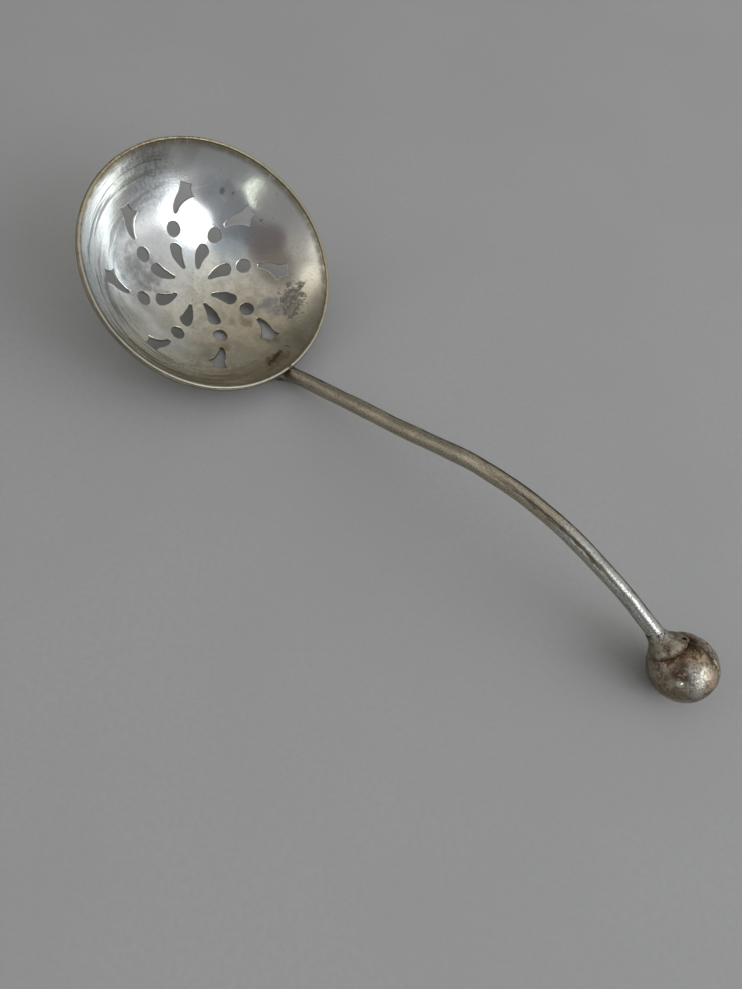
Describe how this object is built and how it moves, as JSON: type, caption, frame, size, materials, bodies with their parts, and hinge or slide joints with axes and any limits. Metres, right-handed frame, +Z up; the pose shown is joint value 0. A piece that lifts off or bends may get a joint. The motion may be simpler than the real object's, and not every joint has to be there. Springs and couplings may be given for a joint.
{
  "type": "sifter spoon",
  "caption": "Sifter spoon with a round bowl pierced with petals, round holes and flowers, a thin wire rim, an arched round-wire handle and a hollow ball end, lying on a table.",
  "frame": {"origin": "on the table top, under the middle of the spoon's bounding box", "axes": "+Z up from the table, +X from the bowl to the ball along the handle, +Y across the bowl"},
  "size_m": [0.1506, 0.054, 0.0331],
  "materials": {
    "bowl_silver": "worn silver plate, bright in the middle, khaki tarnish towards the handle",
    "rim_brass": "thin plate worn through to brass",
    "rod_silver": "tarnished silver plate, brighter near the ball",
    "ball_silver": "mottled brown and khaki tarnish over silver plate",
    "seam_tarnish": "rough brown corroded solder",
    "solder": "dull solder with dark pits"
  },
  "bodies": {
    "root": {"bowl": "bowl_silver", "rim_wire": "rim_brass", "handle_rod": "rod_silver", "handle_root_solder": "solder", "ball_half_left": "ball_silver", "ball_half_right": "ball_silver", "ball_seam_solder": "seam_tarnish", "ball_collar": "solder"}
  },
  "joints": []
}
